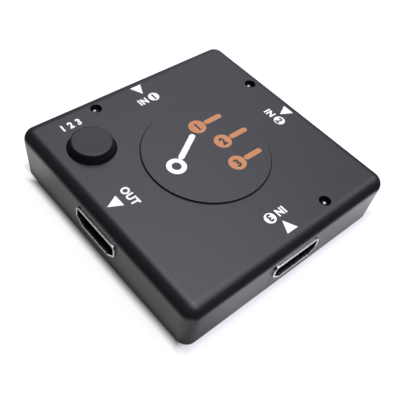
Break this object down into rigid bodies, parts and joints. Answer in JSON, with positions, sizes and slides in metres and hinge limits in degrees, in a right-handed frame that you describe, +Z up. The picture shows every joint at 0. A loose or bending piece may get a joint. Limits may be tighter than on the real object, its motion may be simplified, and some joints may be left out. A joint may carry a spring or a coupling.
{
  "type": "video switch box",
  "caption": "Flat square black box with a video socket in each side, a push button and pilot lamps on top; it passes one chosen input on to the output.",
  "frame": {"origin": "centre of the underside", "axes": "+Z up through the top; the output socket faces -X, input 1 faces +Y, input 2 faces +X, input 3 faces -Y"},
  "size_m": [0.0658, 0.0658, 0.0172],
  "materials": {
    "case_plastic": "satin black moulding, very fine texture",
    "cover_plastic": "satin black moulding",
    "button_plastic": "matte black moulding",
    "switch_plastic": "moulded",
    "insert_plastic": "moulded",
    "socket_steel": "bright nickel plate",
    "contact_gold": "gold flash",
    "screw_steel": "zinc plate",
    "switch_steel": "rolled",
    "spring_bronze": "rolled",
    "tinned_lead": "bright tin",
    "board_laminate": "green solder mask",
    "chip_resin": "moulded resin",
    "resistor_ceramic": "glazed ceramic",
    "capacitor_ceramic": "ceramic",
    "lamp_resin": "smoky resin, unlit"
  },
  "bodies": {
    "case": {"upper_housing": "case_plastic", "bottom_cover": "cover_plastic", "case_screws": "screw_steel", "switch_base": "switch_plastic", "switch_plate": "switch_steel", "switch_dome": "spring_bronze", "switch_terminals": "tinned_lead", "circuit_board": "board_laminate", "led_leads": "tinned_lead", "switching_chip": "chip_resin", "switching_chip_leads": "tinned_lead", "control_chip": "chip_resin", "control_chip_leads": "tinned_lead", "regulator": "chip_resin", "regulator_leads": "tinned_lead", "power_diodes": "chip_resin", "diode_leads": "tinned_lead", "chip_resistors": "resistor_ceramic", "chip_capacitors": "capacitor_ceramic", "socket_shell_in1": "socket_steel", "socket_insert_in1": "insert_plastic", "socket_contacts_in1": "contact_gold", "socket_shell_in2": "socket_steel", "socket_insert_in2": "insert_plastic", "socket_contacts_in2": "contact_gold", "socket_shell_in3": "socket_steel", "socket_insert_in3": "insert_plastic", "socket_contacts_in3": "contact_gold", "socket_shell_out": "socket_steel", "socket_insert_out": "insert_plastic", "socket_contacts_out": "contact_gold", "led_lens_in1": "lamp_resin", "led_lens_in2": "lamp_resin", "led_lens_in3": "lamp_resin"},
    "button": {"button_cap": "button_plastic"},
    "plunger": {"switch_plunger": "switch_plastic"}
  },
  "joints": [
    {"name": "button_press", "type": "slide", "parent": "case", "child": "button", "axis": [0, 0, -1], "range_m": [0, 0.0003], "stiffness_N_per_m": 5000, "springref_m": -0.0001},
    {"name": "plunger_press", "type": "slide", "parent": "case", "child": "plunger", "axis": [0, 0, -1], "range_m": [0, 0.0003], "deforming": ["switch_dome"]}
  ],
  "couplings": [
    {"joint": "plunger_press", "follows": "button_press", "ratio": 1}
  ]
}
